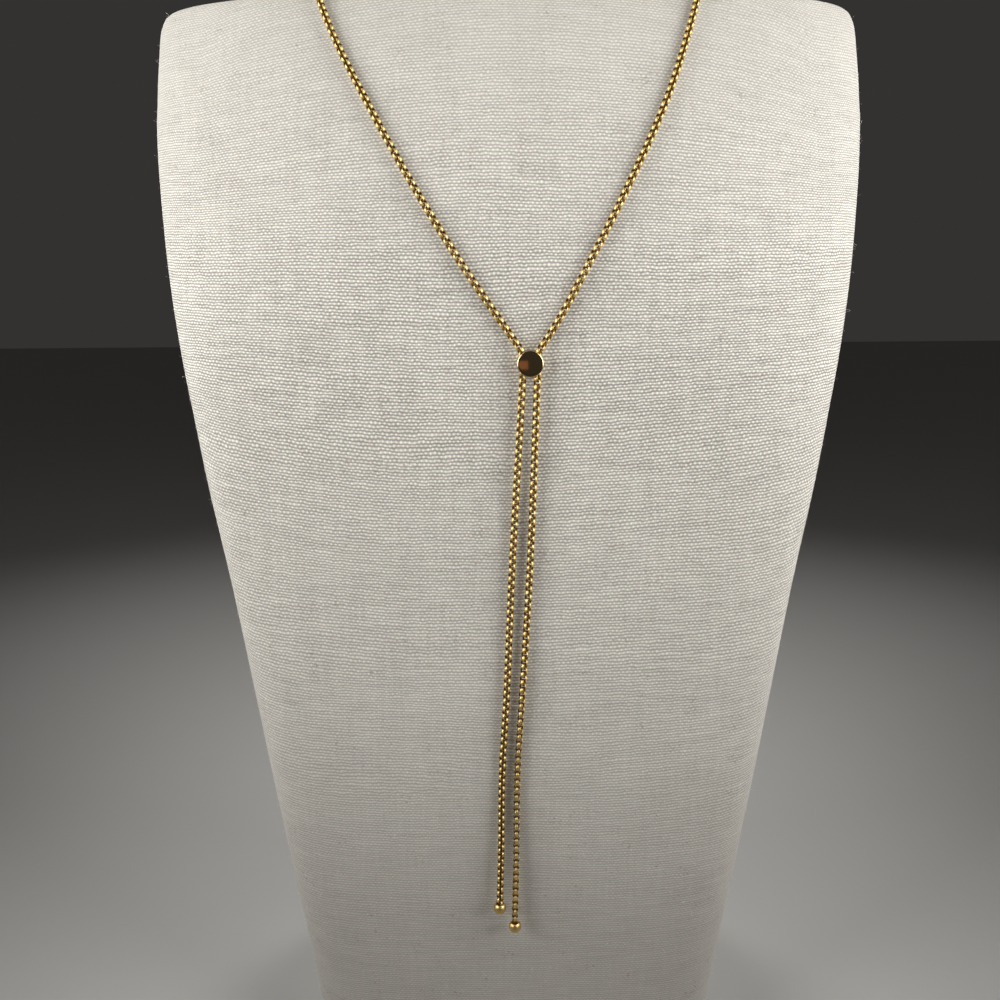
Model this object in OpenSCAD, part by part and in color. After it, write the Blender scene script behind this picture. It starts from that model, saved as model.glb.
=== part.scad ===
// Y necklace: a rounded box chain with a disc slider and two end balls,
// worn by a linen covered neck bust.
// The origin is the middle of the base. The chest faces -Y and +Z is up.

/* [Bust] */
// Height of the bust from its base to the top of the neck
bust_h = 385; // [375:1:400]
// Height of the flat shoulder tops
shoulder_h = 326; // [318:1:332]
// Width of the bust at its widest, just under the shoulders
chest_w = 216; // [200:1:230]
// Width of the base
base_w = 132; // [110:1:160]
// Width of the neck
neck_w = 104; // [90:1:115]
// How far the chest reaches in front of the origin
chest_front = 54; // [48:0.5:60]
// How far the base reaches in front of the origin
base_front = 45.5; // [40:0.5:48]
// How far the base reaches behind the origin
base_back = 48; // [40:0.5:54]
// How far the neck reaches in front of the origin
neck_front = 13; // [8:0.5:18]
// How far the neck reaches behind the origin
neck_back = 54; // [50:0.5:54.5]
// Rounding of the base edge and of the top edge of the neck
edge_r = 3; // [1:0.5:5]

/* [Chain] */
// Outer width of the chain
chain_d = 2; // [1.6:0.1:2.4]
// Gap between the chain, the slider or a ball and what it lies on
chain_gap = 0.25; // [0.2:0.05:0.4]

/* [Slider] */
// Diameter of the slider's disc
slider_d = 7.2; // [6.8:0.1:8.4]
// Thickness of the slider
slider_t = 3.6; // [3.2:0.1:4.4]
// Width of the bevel round each face of the slider
slider_bevel = 0.3; // [0.1:0.05:0.4]
// Distance between the two bores of the slider
bore_pitch = 4; // [3.6:0.1:4.2]
// Clearance round the chain in the slider's bores and the balls' sockets
bore_gap = 0.15; // [0.1:0.05:0.2]

/* [End balls] */
// Diameter of a ball
ball_d = 3.8; // [3.6:0.1:5]
// Height of a socket's floor above the middle of its ball
socket_floor = 0.4; // [0:0.1:0.6]

/* [Hidden] */

// Colours, as in the photo
linen = [0.87, 0.85, 0.80];
gold = [0.80, 0.62, 0.32];

// Room for the straight stretches between the chain's rings, which dip below
// its curve where the bust is round
chord_room = 0.2;
// The chain's middle lies this far off the bust
chain_lift = chain_gap + chord_room + chain_d / 2;
// The back reaches as far behind the origin as the balls do in front of it
chest_back = chest_front + chain_lift + ball_d / 2;

// Sections of the bust, from the base up. The columns are
// height: 0 at the base, 1 at the shoulders, 2 at the top of the neck
// width, front, back: -1 as at the base, 0 as at the chest, 1 as at the neck
// front square, back square: 2 is an ellipse and more is squarer
SECTIONS = [
    [0.000, -1.000, -1.00, -1.00, 5.5, 5.0],
    [0.067, -0.965, -0.72, -0.90, 5.8, 5.0],
    [0.190, -0.857, -0.19, -0.75, 6.0, 5.0],
    [0.300, -0.745,  0.00, -0.62, 6.0, 5.0],
    [0.395, -0.640,  0.02, -0.50, 6.0, 5.0],
    [0.490, -0.524,  0.07, -0.38, 6.0, 5.0],
    [0.575, -0.405,  0.12, -0.28, 6.0, 5.0],
    [0.645, -0.310,  0.16, -0.20, 5.5, 4.6],
    [0.710, -0.200,  0.20, -0.14, 4.3, 4.2],
    [0.790, -0.080,  0.27, -0.08, 3.0, 3.8],
    [0.855, -0.020,  0.38, -0.02, 2.5, 3.5],
    [0.900,  0.000,  0.49,  0.00, 2.3, 3.2],
    [0.935,  0.005,  0.59,  0.00, 2.2, 3.0],
    [0.965,  0.012,  0.70,  0.00, 2.15, 2.9],
    [0.982,  0.020,  0.77,  0.00, 2.1, 2.8],
    [0.991,  0.040,  0.82,  0.00, 2.1, 2.7],
    [0.9965, 0.077,  0.85,  0.00, 2.1, 2.6],
    [0.999,  0.150,  0.86,  0.00, 2.1, 2.6],
    [1.000,  0.300,  0.865, 0.00, 2.1, 2.5],
    [1.035,  0.390,  0.89,  0.08, 2.1, 2.4],
    [1.100,  0.500,  0.93,  0.25, 2.1, 2.4],
    [1.200,  0.643,  0.97,  0.50, 2.1, 2.3],
    [1.340,  0.786,  0.99,  0.80, 2.1, 2.2],
    [1.490,  0.893,  1.00,  0.95, 2.05, 2.1],
    [1.680,  0.964,  1.00,  1.00, 2.0, 2.0],
    [1.860,  0.995,  1.00,  1.00, 2.0, 2.0],
    [2.000,  1.000,  1.00,  1.00, 2.0, 2.0],
];
// The chest is foremost at this height, and the tails hang plumb below it
foremost_z = SECTIONS[3][0] * shoulder_h;

// Rings between two sections, and points round a ring
ring_steps = 2;
ring_points = 64;
// Rings of the rounding at the base and at the neck's top
edge_steps = 3;

// The chain's route. On the chest a point is across and below the shoulders, in
// millimetres. Round the neck it is the angle from the front, the height as in
// the sections and a further gap in millimetres, because the taut chain bridges
// the hollow under the neck.
LEFT_TAIL = [[-4, 246], [-3.5, 220], [-2, 195], [-0.5, 163]];
LEFT_ARM = [[0.5, 94.5], [-14, 73.5], [-27, 52.5], [-38.5, 32], [-49, 11.5]];
NECK = [[-56, 0.986, 0.2], [-63, 1.085, 1], [-72, 1.255, 0.4], [-83, 1.41, 0.4],
    [-97, 1.52, 0.3], [-115, 1.575, 0.1], [-135, 1.585, 0], [-157, 1.585, 0],
    [180, 1.585, 0], [157, 1.585, 0], [135, 1.585, 0], [115, 1.575, 0.1],
    [97, 1.52, 0.3], [83, 1.41, 0.4], [72, 1.255, 0.4], [63, 1.085, 1],
    [56, 0.986, 0.2]];
RIGHT_ARM = [[49, 13.5], [42, 32.5], [32.5, 52.5], [21.5, 73.5], [9.5, 94.5]];
RIGHT_TAIL = [[4.5, 163], [2.5, 195], [1, 220], [0.5, 250]];
SLIDER_AT = [5, 101];
LEFT_BALL_AT = [-4.5, 264.5];
RIGHT_BALL_AT = [0, 271];

// Rings of the chain between two route points, and its sides
route_steps = 2;
chain_sides = 8;
$fn = 64;

// Rows of a table with more rows between them, on a smooth curve
function between(a, b, c, d, t) =
    0.5 * (2 * b + (c - a) * t + (2 * a - 5 * b + 4 * c - d) * t * t
        + (3 * b - a - 3 * c + d) * t * t * t);
function smooth_rows(rows, steps) = [
    for (i = [0 : len(rows) - 2], k = [0 : steps - 1])
        between(rows[max(i - 1, 0)], rows[i], rows[i + 1],
            rows[min(i + 2, len(rows) - 1)], k / steps),
    rows[len(rows) - 1]
];

// Points of a line with more points between them, on a smooth curve. The way
// it runs at a point is that of the stretches on both sides, the shorter first.
function unit(v) = v / norm(v);
function way(line, i) =
    i == 0 ? unit(line[1] - line[0])
    : i == len(line) - 1 ? unit(line[i] - line[i - 1])
    : let (before = line[i] - line[i - 1], after = line[i + 1] - line[i])
    unit(unit(before) * norm(after) + unit(after) * norm(before));
function curve_point(line, i, t) =
    let (from = line[i], to = line[i + 1], reach = norm(line[i + 1] - line[i]))
    from * (2 * t * t * t - 3 * t * t + 1) + to * (3 * t * t - 2 * t * t * t)
        + reach * way(line, i) * (t * t * t - 2 * t * t + t)
        + reach * way(line, i + 1) * (t * t * t - t * t);
function smooth_line(line, steps) = [
    for (i = [0 : len(line) - 2], k = [0 : steps - 1]) curve_point(line, i, k / steps),
    line[len(line) - 1]
];

// A size that goes from base through chest to neck as the share goes -1, 0, 1
function size_at(share, base, chest, neck) =
    share < 0 ? chest - share * (base - chest) : chest + share * (neck - chest);
function height_at(share) =
    share < 1 ? share * shoulder_h : shoulder_h + (share - 1) * (bust_h - shoulder_h);

// A ring is height, half width, front, back, front square and back square
function ring(row) = [
    height_at(row[0]),
    size_at(row[1], base_w, chest_w, neck_w) / 2,
    size_at(row[2], base_front, chest_front, neck_front),
    size_at(row[3], base_back, chest_back, neck_back),
    row[4],
    row[5]
];
RINGS = [for (row = smooth_rows(SECTIONS, ring_steps)) ring(row)];
function ring_value(z, column) = lookup(z, [for (r = RINGS) [r[0], r[column]]]);

// The middle, half depth and squareness of the section at a height
function middle_y(z) = (ring_value(z, 3) - ring_value(z, 2)) / 2;
function half_depth(z) = (ring_value(z, 3) + ring_value(z, 2)) / 2;
function square_at(z, y) = ring_value(z, y < middle_y(z) ? 4 : 5);

// How far a point lies outside the bust: 0 on its surface
function outside(p) =
    let (n = square_at(p.z, p.y))
    pow(abs(p.x) / ring_value(p.z, 1), n)
        + pow(abs(p.y - middle_y(p.z)) / half_depth(p.z), n) - 1;
function normal_at(p) =
    let (e = 0.01)
    let (g = [
        outside(p + [e, 0, 0]) - outside(p - [e, 0, 0]),
        outside(p + [0, e, 0]) - outside(p - [0, e, 0]),
        outside(p + [0, 0, e]) - outside(p - [0, 0, e])
    ])
    g / norm(g);

// The surface at a place across and below the shoulders on the front
function front_point(at) =
    let (z = shoulder_h - at.y, n = ring_value(z, 4))
    let (depth = pow(1 - pow(abs(at.x) / ring_value(z, 1), n), 1 / n))
    [at.x, middle_y(z) - half_depth(z) * depth, z];

// The surface at an angle from the front and a height as in the sections
function round_point(at) =
    let (across = sin(at.x), away = -cos(at.x), z = height_at(at.y))
    let (n = ring_value(z, away < 0 ? 4 : 5))
    let (reach = pow(pow(abs(across) / ring_value(z, 1), n)
        + pow(abs(away) / half_depth(z), n), -1 / n))
    [reach * across, middle_y(z) + reach * away, z];

// A point lifted off the surface
function lifted(p, lift) = p + lift * normal_at(p);
function on_chest(at) = lifted(front_point(at), chain_lift);
function on_neck(at) = lifted(round_point(at), chain_lift + at[2]);

// A tail lies on the chest down to its foremost height and hangs plumb below
function plumb(at) = [at.x, -chest_front - chain_lift, shoulder_h - at.y];
function on_tail(at) = shoulder_h - at.y < foremost_z ? plumb(at) : on_chest(at);

// The slider lies flat on the chest, so it leans back as the chest does there
slider_seat = front_point(SLIDER_AT);
slider_lean = asin(normal_at(slider_seat).z);
slider_middle = lifted(slider_seat, chain_gap + slider_t / 2);
bore_d = chain_d + 2 * bore_gap;
// The strands bend where the middles of the bores leave the disc
bore_end = sqrt(pow(slider_d / 2, 2) - pow(bore_pitch / 2, 2));
function in_bore(side, along) = slider_middle
    + [side * bore_pitch / 2, along * sin(slider_lean), along * cos(slider_lean)];

left_ball = plumb(LEFT_BALL_AT);
right_ball = plumb(RIGHT_BALL_AT);
chain_end = [0, 0, socket_floor + bore_gap];

// The chain's middle line, from the left ball to the right one. It is smooth
// in each stretch and bends where it enters the slider.
function tail_line(ball, points, side) = smooth_line([
    ball + chain_end,
    for (at = points) on_tail(at),
    in_bore(side, -bore_end)
], route_steps);
LOOP_LINE = smooth_line([
    in_bore(-1, bore_end),
    for (at = LEFT_ARM) on_chest(at),
    for (at = NECK) on_neck(at),
    for (at = RIGHT_ARM) on_chest(at),
    in_bore(1, bore_end)
], route_steps);
function backwards(list) = [for (i = [len(list) - 1 : -1 : 0]) list[i]];
CHAIN_LINE = concat(
    tail_line(left_ball, LEFT_TAIL, -1),
    LOOP_LINE,
    backwards(tail_line(right_ball, backwards(RIGHT_TAIL), 1))
);

// Points of one ring of the bust, inset at its rounded edges
function power(value, exponent) = sign(value) * pow(abs(value), exponent);
function bust_ring(z, inset) = [
    for (i = [0 : ring_points - 1])
        let (a = 360 * i / ring_points, n = ring_value(z, sin(a) < 0 ? 4 : 5))
        [
            (ring_value(z, 1) - inset) * power(cos(a), 2 / n),
            middle_y(z) + (half_depth(z) - inset) * power(sin(a), 2 / n),
            z
        ]
];
function inset_at(a) = edge_r * (1 - cos(a));
function bust_rings() = [
    for (k = [edge_steps : -1 : 1])
        let (a = 90 * k / edge_steps)
        bust_ring(edge_r * (1 - sin(a)), inset_at(a)),
    for (r = RINGS) if (r[0] >= edge_r && r[0] <= bust_h - edge_r) bust_ring(r[0], 0),
    for (k = [0 : edge_steps])
        let (a = 90 * k / edge_steps)
        bust_ring(bust_h - edge_r * (1 - sin(a)), inset_at(a))
];

// A closed solid through rings of as many points each, from one end to the other
module skin(rings, sides) {
    last = len(rings) - 1;
    faces = concat(
        [[for (j = [0 : sides - 1]) j]],
        [for (i = [0 : last - 1], j = [0 : sides - 1])
            let (k = (j + 1) % sides)
            each [
                [i * sides + j, (i + 1) * sides + j, (i + 1) * sides + k],
                [i * sides + j, (i + 1) * sides + k, i * sides + k]
            ]],
        [[for (j = [sides - 1 : -1 : 0]) last * sides + j]]
    );
    polyhedron([for (r = rings) each r], faces);
}

module bust() {
    color(linen) skin(bust_rings(), ring_points);
}

// A side direction carried along the line without twisting
function carried(side, forward) = unit(side - (side * forward) * forward);
function side_at(line, i) =
    i == 0 ? carried([1, 0, 0], way(line, 0)) : carried(side_at(line, i - 1), way(line, i));
function chain_ring(centre, forward, side) =
    let (up = cross(forward, side))
    [
        for (j = [0 : chain_sides - 1])
            let (a = 360 * (j + 0.5) / chain_sides)
            centre + chain_d / 2 * (cos(a) * side + sin(a) * up)
    ];

module chain() {
    rings = [
        for (i = [0 : len(CHAIN_LINE) - 1])
            chain_ring(CHAIN_LINE[i], way(CHAIN_LINE, i), side_at(CHAIN_LINE, i))
    ];
    color(gold) skin(rings, chain_sides);
}

// A disc with bevelled faces, standing on its edge, with two upright bores
module slider() {
    half = slider_t / 2;
    radius = slider_d / 2;
    color(gold)
        translate(slider_middle) rotate([-slider_lean, 0, 0])
            difference() {
                rotate([90, 0, 0]) rotate_extrude() polygon([
                    [0, -half],
                    [radius - slider_bevel, -half],
                    [radius, slider_bevel - half],
                    [radius, half - slider_bevel],
                    [radius - slider_bevel, half],
                    [0, half]
                ]);
                for (side = [-1, 1])
                    translate([side * bore_pitch / 2, 0, 0])
                        cylinder(h = slider_d * 2, d = bore_d, center = true);
            }
}

// A ball with a socket in its top for the end of the chain
module end_ball(middle) {
    color(gold) translate(middle) difference() {
        sphere(d = ball_d);
        translate([0, 0, socket_floor]) cylinder(h = ball_d, d = bore_d);
    }
}

module end_ball_left() {
    end_ball(left_ball);
}

module end_ball_right() {
    end_ball(right_ball);
}

bust();
chain();
slider();
end_ball_left();
end_ball_right();
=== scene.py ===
# Y necklace on a linen covered neck bust: a rounded box chain with a disc slider
# and two end balls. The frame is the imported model's, with the chest towards -Y and +Z
# up. Lengths are written in millimetres and made metres with MM, but for lamps and the
# heights in a finish, which are in metres.
import math

import bmesh
import bpy
import numpy as np
from mathutils import Matrix, Vector


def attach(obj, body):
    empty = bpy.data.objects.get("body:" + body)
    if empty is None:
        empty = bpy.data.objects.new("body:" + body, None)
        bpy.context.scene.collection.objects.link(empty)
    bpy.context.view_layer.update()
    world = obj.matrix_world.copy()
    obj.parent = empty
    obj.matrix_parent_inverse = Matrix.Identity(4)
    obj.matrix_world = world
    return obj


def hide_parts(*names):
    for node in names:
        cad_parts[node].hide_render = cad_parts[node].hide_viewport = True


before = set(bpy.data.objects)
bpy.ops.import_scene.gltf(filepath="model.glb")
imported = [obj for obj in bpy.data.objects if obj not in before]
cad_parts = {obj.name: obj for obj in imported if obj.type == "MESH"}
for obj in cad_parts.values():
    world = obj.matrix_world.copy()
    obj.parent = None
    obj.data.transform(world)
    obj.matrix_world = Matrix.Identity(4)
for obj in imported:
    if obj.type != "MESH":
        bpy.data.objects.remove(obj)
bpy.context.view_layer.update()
MM = 0.001

# ---------------------------------------------------------------- camera
CAMERA_AT = (-3.49, -320.0, 255.0)
CAMERA_DOWN = 14.0  # degrees
CAMERA_ROLL = -0.46  # degrees
SENSOR = 36.0
LENS = 36.0
CLIP_START = 0.01


def set_camera():
    data = bpy.data.cameras.new("photo_camera")
    data.sensor_width = SENSOR
    data.lens = LENS
    data.clip_start = CLIP_START
    camera = bpy.data.objects.new("photo_camera", data)
    bpy.context.scene.collection.objects.link(camera)
    turn = (Matrix.Rotation(math.radians(90.0 - CAMERA_DOWN), 4, "X")
            @ Matrix.Rotation(math.radians(CAMERA_ROLL), 4, "Z"))
    camera.matrix_world = Matrix.Translation([MM * v for v in CAMERA_AT]) @ turn
    bpy.context.scene.camera = camera


set_camera()

# ---------------------------------------------------------------- sizes
# The sizes that the scene shares with the model's source.
BUST_H = 385.0
SHOULDER_H = 326.0
CHEST_W = 216.0
BASE_W = 132.0
NECK_W = 104.0
CHEST_FRONT = 54.0
BASE_FRONT = 45.5
BASE_BACK = 48.0
NECK_FRONT = 13.0
NECK_BACK = 54.0
EDGE_R = 3.0
CHAIN_D = 2.0
CHAIN_GAP = 0.25
CHORD_ROOM = 0.2
SLIDER_D = 7.2
SLIDER_T = 3.6
SLIDER_BEVEL = 0.3
BORE_PITCH = 4.0
BORE_GAP = 0.15
BALL_D = 3.8
SOCKET_FLOOR = 0.4
CHAIN_LIFT = CHAIN_GAP + CHORD_ROOM + CHAIN_D / 2
CHEST_BACK = CHEST_FRONT + CHAIN_LIFT + BALL_D / 2
BORE_D = CHAIN_D + 2 * BORE_GAP

# Sections of the bust: height (0 base, 1 shoulders, 2 top of the neck), then width,
# front and back (-1 as at the base, 0 as at the chest, 1 as at the neck), then how
# square the front and the back are.
SECTIONS = [
    [0.000, -1.000, -1.00, -1.00, 5.5, 5.0],
    [0.067, -0.965, -0.72, -0.90, 5.8, 5.0],
    [0.190, -0.857, -0.19, -0.75, 6.0, 5.0],
    [0.300, -0.745, 0.00, -0.62, 6.0, 5.0],
    [0.395, -0.640, 0.02, -0.50, 6.0, 5.0],
    [0.490, -0.524, 0.07, -0.38, 6.0, 5.0],
    [0.575, -0.405, 0.12, -0.28, 6.0, 5.0],
    [0.645, -0.310, 0.16, -0.20, 5.5, 4.6],
    [0.710, -0.200, 0.20, -0.14, 4.3, 4.2],
    [0.790, -0.080, 0.27, -0.08, 3.0, 3.8],
    [0.855, -0.020, 0.38, -0.02, 2.5, 3.5],
    [0.900, 0.000, 0.49, 0.00, 2.3, 3.2],
    [0.935, 0.005, 0.59, 0.00, 2.2, 3.0],
    [0.965, 0.012, 0.70, 0.00, 2.15, 2.9],
    [0.982, 0.020, 0.77, 0.00, 2.1, 2.8],
    [0.991, 0.040, 0.82, 0.00, 2.1, 2.7],
    [0.9965, 0.077, 0.85, 0.00, 2.1, 2.6],
    [0.999, 0.150, 0.86, 0.00, 2.1, 2.6],
    [1.000, 0.300, 0.865, 0.00, 2.1, 2.5],
    [1.035, 0.390, 0.89, 0.08, 2.1, 2.4],
    [1.100, 0.500, 0.93, 0.25, 2.1, 2.4],
    [1.200, 0.643, 0.97, 0.50, 2.1, 2.3],
    [1.340, 0.786, 0.99, 0.80, 2.1, 2.2],
    [1.490, 0.893, 1.00, 0.95, 2.05, 2.1],
    [1.680, 0.964, 1.00, 1.00, 2.0, 2.0],
    [1.860, 0.995, 1.00, 1.00, 2.0, 2.0],
    [2.000, 1.000, 1.00, 1.00, 2.0, 2.0],
]

# The chain's route, as the model's source has it. On the chest: across, and below the
# shoulders. Round the neck: degrees from the front, the height as in the sections, and
# a further gap.
LEFT_TAIL = [[-4, 246], [-3.5, 220], [-2, 195], [-0.5, 163]]
LEFT_ARM = [[0.5, 94.5], [-14, 73.5], [-27, 52.5], [-38.5, 32], [-49, 11.5]]
NECK = [[-56, 0.986, 0.2], [-63, 1.085, 1], [-72, 1.255, 0.4], [-83, 1.41, 0.4],
        [-97, 1.52, 0.3], [-115, 1.575, 0.1], [-135, 1.585, 0], [-157, 1.585, 0],
        [180, 1.585, 0], [157, 1.585, 0], [135, 1.585, 0], [115, 1.575, 0.1],
        [97, 1.52, 0.3], [83, 1.41, 0.4], [72, 1.255, 0.4], [63, 1.085, 1],
        [56, 0.986, 0.2]]
RIGHT_ARM = [[49, 13.5], [42, 32.5], [32.5, 52.5], [21.5, 73.5], [9.5, 94.5]]
RIGHT_TAIL = [[4.5, 163], [2.5, 195], [1, 220], [0.5, 250]]
SLIDER_AT = [5, 101]
LEFT_BALL_AT = [-4.5, 264.5]
RIGHT_BALL_AT = [0, 271]


# ---------------------------------------------------------------- the bust's surface
def smooth_rows(rows, steps):
    """Rows of a table with more rows between them, on a smooth curve."""
    rows = np.array(rows, float)
    last = len(rows) - 1
    out = []
    for i in range(last):
        a, b, c, d = (rows[k] for k in (max(i - 1, 0), i, i + 1, min(i + 2, last)))
        for k in range(steps):
            t = k / steps
            out.append(0.5 * (2 * b + (c - a) * t + (2 * a - 5 * b + 4 * c - d) * t * t
                              + (3 * b - a - 3 * c + d) * t**3))
    return np.array(out + [rows[last]])


def size_at(share, base, chest, neck):
    """A size from its share: -1 as at the base, 0 as at the chest, 1 as at the neck."""
    return chest - share * (base - chest) if share < 0 else chest + share * (neck - chest)


def height_at(share):
    """A height from its share: 0 the base, 1 the shoulders, 2 the top of the neck."""
    if share < 1:
        return share * SHOULDER_H
    return SHOULDER_H + (share - 1) * (BUST_H - SHOULDER_H)


# The columns of a table of rings.
HEIGHT, HALF_WIDTH, FRONT, BACK, FRONT_SQUARE, BACK_SQUARE = range(6)
SOLID_STEPS = 2
# Half the distance between the two points that a slope is measured from.
NUDGE = 0.01


def ring_table(steps, sections=SECTIONS):
    """The sections as sizes, with more rings between them."""
    return np.array([
        [height_at(r[0]), size_at(r[1], BASE_W, CHEST_W, NECK_W) / 2,
         size_at(r[2], BASE_FRONT, CHEST_FRONT, NECK_FRONT),
         size_at(r[3], BASE_BACK, CHEST_BACK, NECK_BACK), r[4], r[5]]
        for r in smooth_rows(sections, steps)
    ])


SOLID_RINGS = ring_table(SOLID_STEPS)


def ring_value(z, column):
    return np.interp(z, SOLID_RINGS[:, HEIGHT], SOLID_RINGS[:, column])


def middle_y(z):
    return (ring_value(z, BACK) - ring_value(z, FRONT)) / 2


def half_depth(z):
    return (ring_value(z, BACK) + ring_value(z, FRONT)) / 2


def outside(p):
    """How far a point lies outside the bust: 0 on its surface."""
    middle = middle_y(p[2])
    n = ring_value(p[2], FRONT_SQUARE if p[1] < middle else BACK_SQUARE)
    return ((abs(p[0]) / ring_value(p[2], HALF_WIDTH)) ** n
            + (abs(p[1] - middle) / half_depth(p[2])) ** n - 1)


def normal_at(p):
    slope = np.array([outside(p + e) - outside(p - e) for e in np.eye(3) * NUDGE])
    return slope / np.linalg.norm(slope)


def front_point(at):
    """The point of the front that lies this far across and below the shoulders."""
    z = SHOULDER_H - at[1]
    n = ring_value(z, FRONT_SQUARE)
    depth = (1 - (abs(at[0]) / ring_value(z, HALF_WIDTH)) ** n) ** (1 / n)
    return np.array([at[0], middle_y(z) - half_depth(z) * depth, z])


def round_point(at):
    """The point of the surface at this angle from the front and this height."""
    z = height_at(at[1])
    across, away = math.sin(math.radians(at[0])), -math.cos(math.radians(at[0]))
    n = ring_value(z, FRONT_SQUARE if away < 0 else BACK_SQUARE)
    reach = ((abs(across) / ring_value(z, HALF_WIDTH)) ** n
             + (abs(away) / half_depth(z)) ** n) ** (-1 / n)
    return np.array([reach * across, middle_y(z) + reach * away, z])


def lifted(p, lift):
    return p + lift * normal_at(p)


def on_chest(at):
    return lifted(front_point(at), CHAIN_LIFT)


def on_neck(at):
    return lifted(round_point(at), CHAIN_LIFT + at[2])


FOREMOST_Z = SECTIONS[3][0] * SHOULDER_H


def plumb(at):
    """A point that hangs straight down in front of the foremost part of the chest."""
    return np.array([at[0], -CHEST_FRONT - CHAIN_LIFT, SHOULDER_H - at[1]])


def on_tail(at):
    return plumb(at) if SHOULDER_H - at[1] < FOREMOST_Z else on_chest(at)


# ---------------------------------------------------------------- the chain's route
def unit(v):
    return v / np.linalg.norm(v)


def way(line, i):
    """The direction of a line at one of its points."""
    if i == 0:
        return unit(line[1] - line[0])
    if i == len(line) - 1:
        return unit(line[i] - line[i - 1])
    before, after = line[i] - line[i - 1], line[i + 1] - line[i]
    return unit(unit(before) * np.linalg.norm(after)
                + unit(after) * np.linalg.norm(before))


def smooth_line(line, steps):
    """Points of a line with more points between them, on a smooth curve."""
    out = []
    for i in range(len(line) - 1):
        a, b = line[i], line[i + 1]
        reach = np.linalg.norm(b - a)
        for k in range(steps):
            t = k / steps
            out.append(a * (2 * t**3 - 3 * t * t + 1) + b * (3 * t * t - 2 * t**3)
                       + reach * way(line, i) * (t**3 - 2 * t * t + t)
                       + reach * way(line, i + 1) * (t**3 - t * t))
    return out + [line[-1]]


slider_seat = front_point(SLIDER_AT)
slider_lean = math.asin(normal_at(slider_seat)[2])
slider_middle = lifted(slider_seat, CHAIN_GAP + SLIDER_T / 2)
BORE_END = math.sqrt((SLIDER_D / 2) ** 2 - (BORE_PITCH / 2) ** 2)
left_ball = plumb(LEFT_BALL_AT)
right_ball = plumb(RIGHT_BALL_AT)


def in_bore(side, along):
    return slider_middle + np.array([side * BORE_PITCH / 2, along * math.sin(slider_lean),
                                     along * math.cos(slider_lean)])


# A link is a flat strip bent to a rounded box. The pitch is nearly this, so that a whole
# number of links reaches from one ball to the other.
PITCH = 1.205
LINK_L = 2.08
LINK_D = 2.10
LINK_POINTS = 12
SQUARENESS = 2.8
STRIP_W = 1.20
STRIP_T = 0.345
STRIP_SIDES = 6
CORNER_PINCH = 0.30
# How the chain is turned, from the left ball to the right one: millimetres along the
# chain, and degrees. At 0 every other link shows its rounded side to the front, and at
# 45 two rows of sides show.
TURNS = np.array([[0, 45], [120, 45], [150, 36], [170, 34], [200, 45], [540, 45], [620, 45],
                  [645, 34], [665, 36], [700, 45], [735, 30], [765, 5], [810, 2]], float)
# The last link keeps a little room above the floor of its ball's socket.
SOCKET_ROOM = 0.1
LAST_LINK = np.array([0, 0, SOCKET_FLOOR + SOCKET_ROOM + LINK_L / 2])
# The links' middle line: how finely it is drawn, and how widely its bends are eased.
LINE_STEPS = 24
LINE_SPACING = 0.3
EASE_WIDTH = 1.2
EASE_REACH = 12


def even_line(line, step):
    """The line with its points a fixed distance apart."""
    line = np.array(line)
    along = np.r_[0, np.cumsum(np.linalg.norm(np.diff(line, axis=0), axis=1))]
    at = np.linspace(0, along[-1], int(round(along[-1] / step)) + 1)
    return np.stack([np.interp(at, along, line[:, k]) for k in range(3)], 1), at


def links_line():
    """The middle line of the links, with the bends at the slider eased."""
    tail = smooth_line([left_ball + LAST_LINK] + [on_tail(a) for a in LEFT_TAIL]
                       + [in_bore(-1, -BORE_END)], LINE_STEPS)
    loop = smooth_line([in_bore(-1, BORE_END)] + [on_chest(a) for a in LEFT_ARM]
                       + [on_neck(a) for a in NECK] + [on_chest(a) for a in RIGHT_ARM]
                       + [in_bore(1, BORE_END)], LINE_STEPS)
    other = smooth_line([right_ball + LAST_LINK] + [on_tail(a) for a in RIGHT_TAIL[::-1]]
                        + [in_bore(1, -BORE_END)], LINE_STEPS)[::-1]
    line, along = even_line(tail + loop + other, LINE_SPACING)
    near = np.arange(-EASE_REACH, EASE_REACH + 1) * LINE_SPACING
    ease = np.exp(-0.5 * (near / EASE_WIDTH) ** 2)
    ease /= ease.sum()
    padded = [np.pad(line[:, k], EASE_REACH, "reflect", reflect_type="odd") for k in range(3)]
    return np.stack([np.convolve(row, ease, "valid") for row in padded], 1), along


# ---------------------------------------------------------------- making nodes
def put(tree, kind, inputs=None, **settings):
    """A node with its settings, and its inputs linked or set."""
    node = tree.nodes.new(kind)
    for name, value in settings.items():
        setattr(node, name, value)
    for name, value in (inputs or {}).items():
        socket = node.inputs[name]
        if isinstance(value, bpy.types.NodeSocket):
            tree.links.new(value, socket)
        else:
            socket.default_value = value
    return node


def out(node, name=0):
    return node.outputs[name]


def sums(tree, prefix):
    """A function that adds a math node to the tree."""
    def math_node(operation, a, b=None, c=None, clamp=False):
        inputs = {k: v for k, v in enumerate((a, b, c)) if v is not None}
        node = put(tree, prefix, inputs, operation=operation)
        node.use_clamp = clamp
        return node.outputs[0]
    return math_node


def mixed(tree, share, a, b):
    """Two colours mixed by a share."""
    node = put(tree, "ShaderNodeMix", data_type="RGBA")
    first, second = (socket for socket in node.inputs if socket.type == "RGBA")
    for socket, value in ((node.inputs[0], share), (first, a), (second, b)):
        if isinstance(value, bpy.types.NodeSocket):
            tree.links.new(value, socket)
        else:
            socket.default_value = value
    return next(socket for socket in node.outputs if socket.type == "RGBA")


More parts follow.
